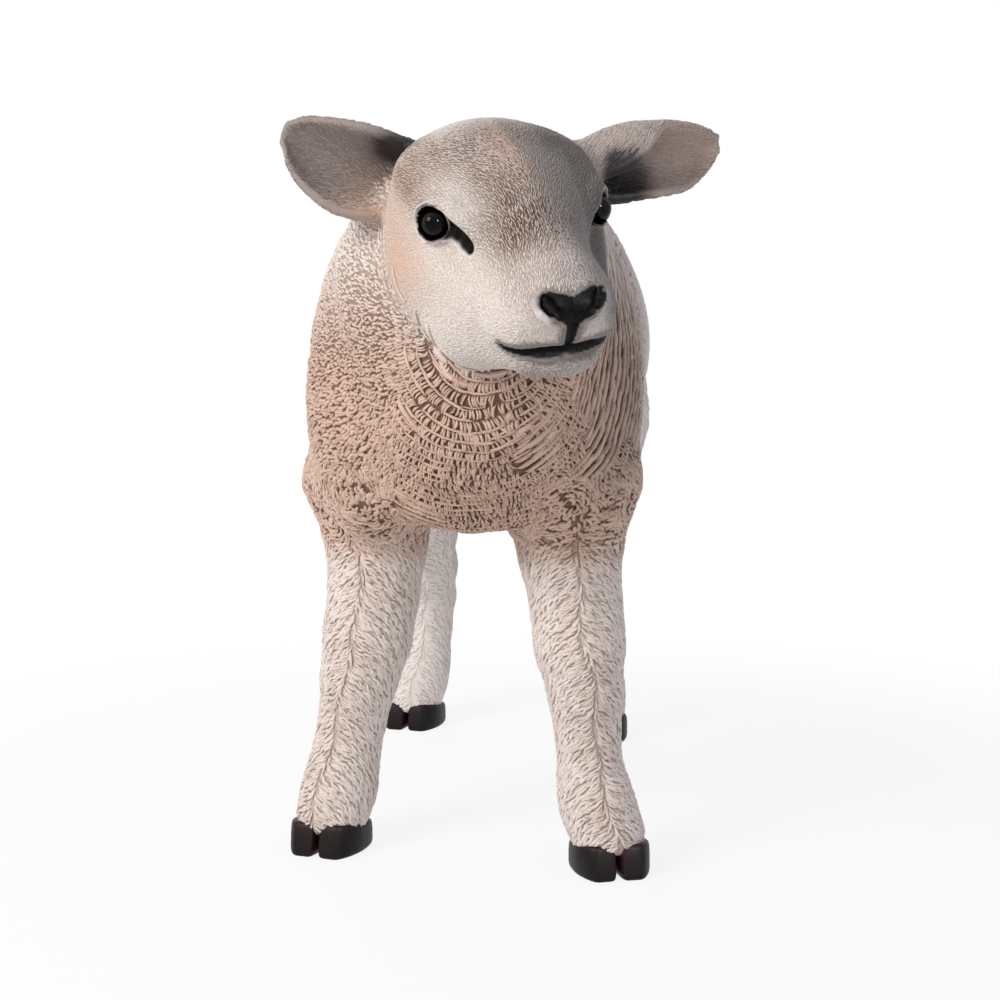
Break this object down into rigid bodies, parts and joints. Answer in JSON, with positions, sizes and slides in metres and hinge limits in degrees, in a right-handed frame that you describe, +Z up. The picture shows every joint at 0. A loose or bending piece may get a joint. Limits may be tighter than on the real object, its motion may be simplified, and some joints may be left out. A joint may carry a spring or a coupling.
{
  "type": "lamb statue",
  "caption": "Life-size painted cast-resin statue of a standing white-faced lamb with its head turned to its left, carved wool, glossy dark eyes and black hooves.",
  "frame": {"origin": "middle of the lamb's outline seen from above, at the level of the soles", "axes": "+Z up, -Y the way the lamb's body faces, +X to the lamb's own left"},
  "size_m": [0.2694, 0.6132, 0.4589],
  "materials": {
    "face": "satin paint, off-white with a brown wash in the carved strokes",
    "neck_wool": "matt paint, cream over tan and brown wash",
    "fleece": "matt paint, pale cream with a thin brown wash",
    "leg_wool": "matt paint, cream with a tan wash between the strands",
    "ear": "matt paint, grey-brown inside, pinkish in the bowl",
    "eye": "glossy, near-black brown",
    "claw": "satin black paint"
  },
  "bodies": {
    "root": {"head": "face", "neck": "neck_wool", "trunk": "fleece", "tail": "fleece", "ear_left": "ear", "ear_right": "ear", "eye_left": "eye", "eye_right": "eye", "leg_front_right": "leg_wool", "claw_front_right_outer": "claw", "claw_front_right_inner": "claw", "leg_front_left": "leg_wool", "claw_front_left_outer": "claw", "claw_front_left_inner": "claw", "leg_hind_right": "leg_wool", "claw_hind_right_outer": "claw", "claw_hind_right_inner": "claw", "leg_hind_left": "leg_wool", "claw_hind_left_outer": "claw", "claw_hind_left_inner": "claw"}
  },
  "joints": []
}
